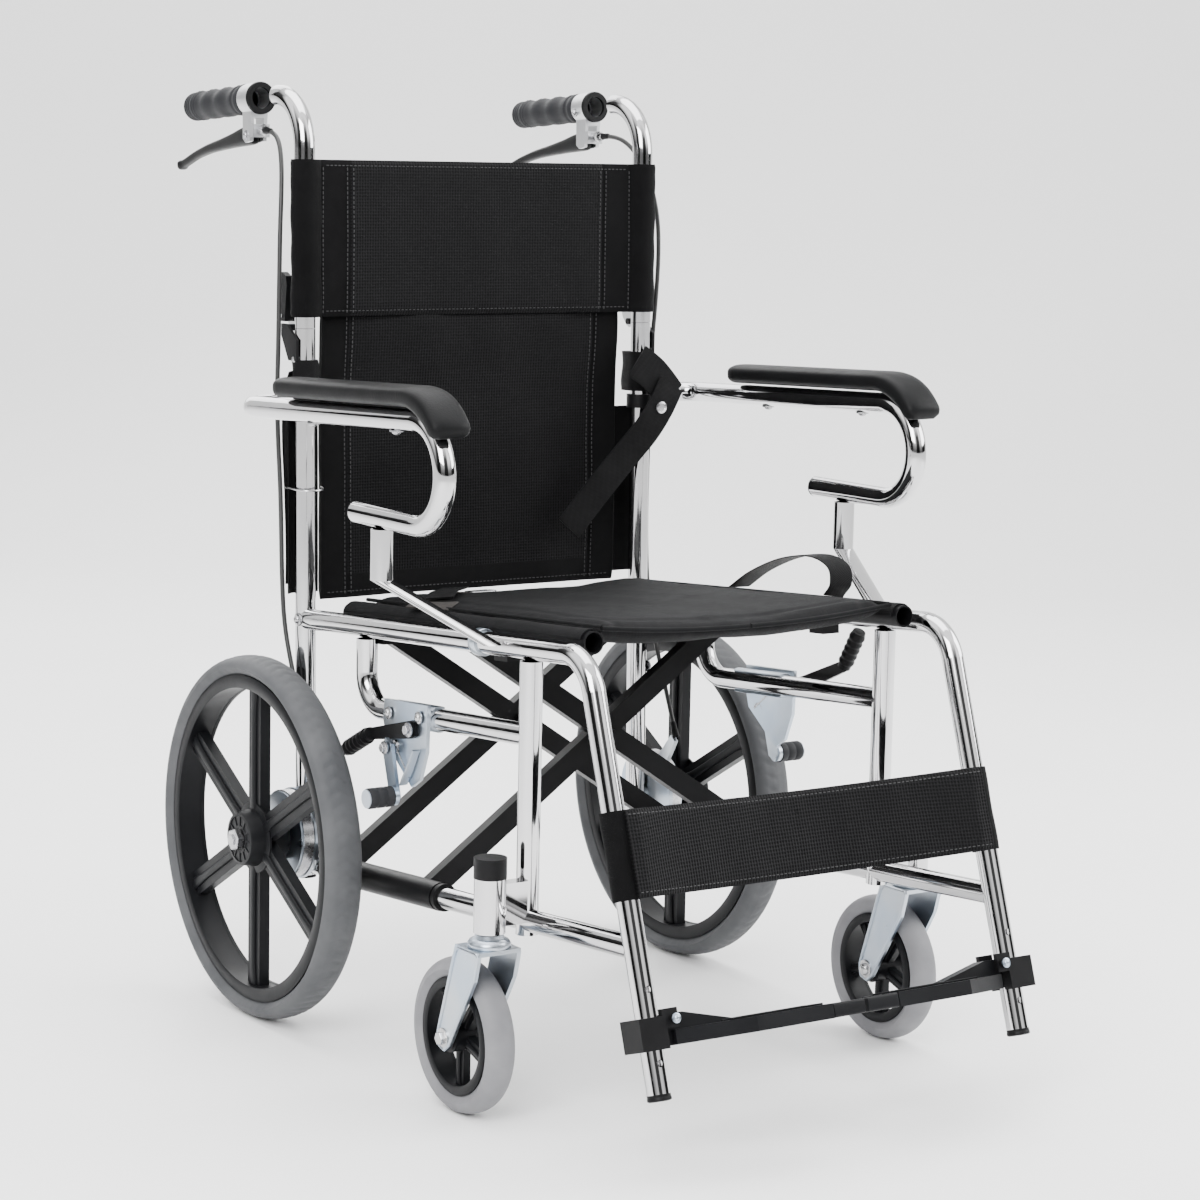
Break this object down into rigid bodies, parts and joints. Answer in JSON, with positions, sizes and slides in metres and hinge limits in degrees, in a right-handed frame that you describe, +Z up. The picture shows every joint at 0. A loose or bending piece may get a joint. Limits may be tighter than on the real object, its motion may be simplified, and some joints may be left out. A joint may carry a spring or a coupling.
{
  "type": "transit wheelchair",
  "caption": "Folding attendant wheelchair with swing-up armrests, fold-down push handles, hub and parking brakes, castors and flip-up footplates.",
  "frame": {"origin": "centre of the bounding box, on the floor", "axes": "+Z up, -Y the way the rider faces, +X to the rider's left"},
  "size_m": [0.616, 1.015, 0.992],
  "materials": {
    "chrome_tube": "polished chrome",
    "zinc_steel": "zinc plated",
    "black_plastic": "moulded",
    "black_steel": "black powder coat",
    "alloy": "cast",
    "lever_black": "black coat",
    "grip_rubber": "soft rubber",
    "pad_rubber": "textured foam skin",
    "hub_plastic": "moulded nylon",
    "rear_tyre": "grey solid tyre",
    "castor_tyre": "light grey solid tyre",
    "cover_fabric": "black nylon",
    "webbing": "woven belt",
    "cable_jacket": "smooth jacket"
  },
  "bodies": {
    "frame_right": {"back_post_right": "chrome_tube", "seat_rail_right": "chrome_tube", "lower_rail_right": "chrome_tube", "front_frame_right": "chrome_tube", "arm_support_right": "chrome_tube", "frame_fittings_right": "black_plastic", "hub_brake_right": "zinc_steel", "parking_bracket_right": "zinc_steel", "brake_cable_right": "cable_jacket", "lap_belt_right": "webbing"},
    "back_right": {"push_tube_right": "chrome_tube", "push_grip_right": "grip_rubber", "brake_lever_mount_right": "alloy"},
    "latch_right": {"back_latch_right": "black_plastic"},
    "hand_lever_right": {"brake_hand_lever_right": "lever_black"},
    "armrest_right": {"armrest_tube_right": "chrome_tube", "armrest_pad_right": "pad_rubber"},
    "fork_right": {"castor_fork_right": "zinc_steel"},
    "castor_right": {"castor_hub_right": "hub_plastic", "castor_tyre_right": "castor_tyre"},
    "wheel_right": {"wheel_hub_right": "hub_plastic", "wheel_tyre_right": "rear_tyre"},
    "brake_lever_right": {"parking_lever_right": "lever_black"},
    "brake_shoe_right": {"parking_shoe_right": "zinc_steel"},
    "foot_right": {"footplate_right": "hub_plastic"},
    "seat_right": {"seat_cover_right": "cover_fabric"},
    "upper_cover_right": {"upper_back_cover_right": "cover_fabric"},
    "lower_cover_right": {"lower_back_cover_right": "cover_fabric"},
    "strap_right": {"calf_strap_right": "cover_fabric"},
    "cross_right": {"cross_bar_right": "black_steel"},
    "frame_left": {"back_post_left": "chrome_tube", "seat_rail_left": "chrome_tube", "lower_rail_left": "chrome_tube", "front_frame_left": "chrome_tube", "arm_support_left": "chrome_tube", "frame_fittings_left": "black_plastic", "hub_brake_left": "zinc_steel", "parking_bracket_left": "zinc_steel", "brake_cable_left": "cable_jacket", "lap_belt_left": "webbing"},
    "back_left": {"push_tube_left": "chrome_tube", "push_grip_left": "grip_rubber", "brake_lever_mount_left": "alloy"},
    "latch_left": {"back_latch_left": "black_plastic"},
    "hand_lever_left": {"brake_hand_lever_left": "lever_black"},
    "armrest_left": {"armrest_tube_left": "chrome_tube", "armrest_pad_left": "pad_rubber"},
    "fork_left": {"castor_fork_left": "zinc_steel"},
    "castor_left": {"castor_hub_left": "hub_plastic", "castor_tyre_left": "castor_tyre"},
    "wheel_left": {"wheel_hub_left": "hub_plastic", "wheel_tyre_left": "rear_tyre"},
    "brake_lever_left": {"parking_lever_left": "lever_black"},
    "brake_shoe_left": {"parking_shoe_left": "zinc_steel"},
    "foot_left": {"footplate_left": "hub_plastic"},
    "seat_left": {"seat_cover_left": "cover_fabric"},
    "upper_cover_left": {"upper_back_cover_left": "cover_fabric"},
    "lower_cover_left": {"lower_back_cover_left": "cover_fabric"},
    "strap_left": {"calf_strap_left": "cover_fabric"},
    "cross_left": {"cross_bar_left": "black_steel"}
  },
  "joints": [
    {"name": "fold", "type": "hinge", "parent": "frame_right", "child": "cross_right", "pos_m": [-0.215, 0.03395, 0.1736], "axis": [0, -0.9972, 0.075], "range_deg": [0, 42.6]},
    {"name": "cross_pivot", "type": "hinge", "parent": "cross_right", "child": "cross_left", "pos_m": [0, 0.04484, 0.31841], "axis": [0, -0.9972, 0.075], "range_deg": [-85.4, 0]},
    {"name": "left_rail_hinge", "type": "hinge", "parent": "cross_left", "child": "frame_left", "pos_m": [0.215, 0.03395, 0.1736], "axis": [0, -0.9972, 0.075], "range_deg": [0, 42.7]},
    {"name": "seat_hinge_left", "type": "hinge", "parent": "cross_right", "child": "seat_left", "pos_m": [0.187, -0.03544, 0.45111], "axis": [0, -0.9972, 0.075], "range_deg": [-132.91, 0]},
    {"name": "seat_hinge_right", "type": "hinge", "parent": "cross_left", "child": "seat_right", "pos_m": [-0.187, -0.03544, 0.45111], "axis": [0, -0.9972, 0.075], "range_deg": [0, 132.91]},
    {"name": "lower_back_hinge_right", "type": "hinge", "parent": "frame_right", "child": "lower_cover_right", "pos_m": [-0.188, 0.21978, 0.59463], "axis": [0, 0.0192, 0.9998], "range_deg": [0, 90.23]},
    {"name": "upper_back_hinge_right", "type": "hinge", "parent": "back_right", "child": "upper_cover_right", "pos_m": [-0.197, 0.20859, 0.82488], "axis": [0, 0.0192, 0.9998], "range_deg": [0, 90.23]},
    {"name": "calf_strap_hinge_right", "type": "hinge", "parent": "frame_right", "child": "strap_right", "pos_m": [-0.2, -0.40755, 0.28853], "axis": [0, 0.3206, 0.9472], "range_deg": [0, 90.23]},
    {"name": "footplate_hinge_right", "type": "hinge", "parent": "frame_right", "child": "foot_right", "pos_m": [-0.197, -0.45433, 0.1441], "axis": [0, -0.9472, 0.3206], "range_deg": [0, 90.23]},
    {"name": "back_fold_right", "type": "hinge", "parent": "frame_right", "child": "back_right", "pos_m": [-0.215, 0.22687, 0.735], "axis": [-1, 0, 0], "range_deg": [0, 110], "deforming": ["brake_cable_right"]},
    {"name": "latch_pivot_right", "type": "hinge", "parent": "back_right", "child": "latch_right", "pos_m": [-0.2222, 0.2371, 0.747], "axis": [1, 0, 0], "range_deg": [0, 12], "stiffness_Nm_per_rad": 0.4, "springref_deg": -11.46},
    {"name": "hand_lever_pivot_right", "type": "hinge", "parent": "back_right", "child": "hand_lever_right", "pos_m": [-0.215, 0.3235, 0.9355], "axis": [1, 0, 0], "range_deg": [0, 11], "stiffness_Nm_per_rad": 2, "springref_deg": -11.46},
    {"name": "armrest_pivot_right", "type": "hinge", "parent": "frame_right", "child": "armrest_right", "pos_m": [-0.245, 0.20533, 0.655], "axis": [-1, 0, 0], "range_deg": [0, 100]},
    {"name": "castor_swivel_right", "type": "hinge", "parent": "frame_right", "child": "fork_right", "pos_m": [-0.26, -0.2525, 0.21], "axis": [0, 0, 1], "continuous": true},
    {"name": "castor_spin_right", "type": "hinge", "parent": "fork_right", "child": "castor_right", "pos_m": [-0.26, -0.2085, 0.077], "axis": [1, 0, 0], "continuous": true},
    {"name": "wheel_spin_right", "type": "hinge", "parent": "frame_right", "child": "wheel_right", "pos_m": [-0.273, 0.1935, 0.195], "axis": [1, 0, 0], "continuous": true},
    {"name": "parking_lever_pivot_right", "type": "hinge", "parent": "frame_right", "child": "brake_lever_right", "pos_m": [-0.2327, -0.0565, 0.35], "axis": [1, 0, 0], "range_deg": [0, 40]},
    {"name": "parking_shoe_pivot_right", "type": "hinge", "parent": "frame_right", "child": "brake_shoe_right", "pos_m": [-0.239, -0.0195, 0.326], "axis": [1, 0, 0], "range_deg": [0, 54.2]},
    {"name": "lower_back_hinge_left", "type": "hinge", "parent": "frame_left", "child": "lower_cover_left", "pos_m": [0.188, 0.21978, 0.59463], "axis": [0, 0.0192, 0.9998], "range_deg": [-90.23, 0]},
    {"name": "upper_back_hinge_left", "type": "hinge", "parent": "back_left", "child": "upper_cover_left", "pos_m": [0.197, 0.20859, 0.82488], "axis": [0, 0.0192, 0.9998], "range_deg": [-90.23, 0]},
    {"name": "calf_strap_hinge_left", "type": "hinge", "parent": "frame_left", "child": "strap_left", "pos_m": [0.2, -0.40755, 0.28853], "axis": [0, 0.3206, 0.9472], "range_deg": [-90.23, 0]},
    {"name": "footplate_hinge_left", "type": "hinge", "parent": "frame_left", "child": "foot_left", "pos_m": [0.197, -0.45433, 0.1441], "axis": [0, -0.9472, 0.3206], "range_deg": [-90.23, 0]},
    {"name": "back_fold_left", "type": "hinge", "parent": "frame_left", "child": "back_left", "pos_m": [0.215, 0.22687, 0.735], "axis": [-1, 0, 0], "range_deg": [0, 110.1], "deforming": ["brake_cable_left"]},
    {"name": "latch_pivot_left", "type": "hinge", "parent": "back_left", "child": "latch_left", "pos_m": [0.2222, 0.2371, 0.747], "axis": [1, 0, 0], "range_deg": [0, 12], "stiffness_Nm_per_rad": 0.4, "springref_deg": -11.46},
    {"name": "hand_lever_pivot_left", "type": "hinge", "parent": "back_left", "child": "hand_lever_left", "pos_m": [0.215, 0.3235, 0.9355], "axis": [1, 0, 0], "range_deg": [0, 11], "stiffness_Nm_per_rad": 2, "springref_deg": -11.46},
    {"name": "armrest_pivot_left", "type": "hinge", "parent": "frame_left", "child": "armrest_left", "pos_m": [0.245, 0.20533, 0.655], "axis": [-1, 0, 0], "range_deg": [0, 100]},
    {"name": "castor_swivel_left", "type": "hinge", "parent": "frame_left", "child": "fork_left", "pos_m": [0.26, -0.2525, 0.21], "axis": [0, 0, 1], "continuous": true},
    {"name": "castor_spin_left", "type": "hinge", "parent": "fork_left", "child": "castor_left", "pos_m": [0.26, -0.2085, 0.077], "axis": [1, 0, 0], "continuous": true},
    {"name": "wheel_spin_left", "type": "hinge", "parent": "frame_left", "child": "wheel_left", "pos_m": [0.273, 0.1935, 0.195], "axis": [1, 0, 0], "continuous": true},
    {"name": "parking_lever_pivot_left", "type": "hinge", "parent": "frame_left", "child": "brake_lever_left", "pos_m": [0.2327, -0.0565, 0.35], "axis": [-1, 0, 0], "range_deg": [0, 40]},
    {"name": "parking_shoe_pivot_left", "type": "hinge", "parent": "frame_left", "child": "brake_shoe_left", "pos_m": [0.239, -0.0195, 0.326], "axis": [1, 0, 0], "range_deg": [0, 54.2]}
  ],
  "couplings": [
    {"joint": "cross_pivot", "follows": "fold", "ratio": -2},
    {"joint": "left_rail_hinge", "follows": "fold", "ratio": 1},
    {"joint": "seat_hinge_left", "follows": "fold", "ratio": -3.1127},
    {"joint": "seat_hinge_right", "follows": "fold", "ratio": 3.1127},
    {"joint": "lower_back_hinge_right", "follows": "fold", "ratio": 2.1127},
    {"joint": "upper_back_hinge_right", "follows": "fold", "ratio": 2.1127},
    {"joint": "calf_strap_hinge_right", "follows": "fold", "ratio": 2.1127},
    {"joint": "footplate_hinge_right", "follows": "fold", "ratio": 2.1127},
    {"joint": "parking_shoe_pivot_right", "follows": "parking_lever_pivot_right", "ratio": 1.35},
    {"joint": "lower_back_hinge_left", "follows": "fold", "ratio": -2.1127},
    {"joint": "upper_back_hinge_left", "follows": "fold", "ratio": -2.1127},
    {"joint": "calf_strap_hinge_left", "follows": "fold", "ratio": -2.1127},
    {"joint": "footplate_hinge_left", "follows": "fold", "ratio": -2.1127},
    {"joint": "back_fold_left", "follows": "back_fold_right", "ratio": 1},
    {"joint": "parking_shoe_pivot_left", "follows": "parking_lever_pivot_left", "ratio": 1.35}
  ]
}
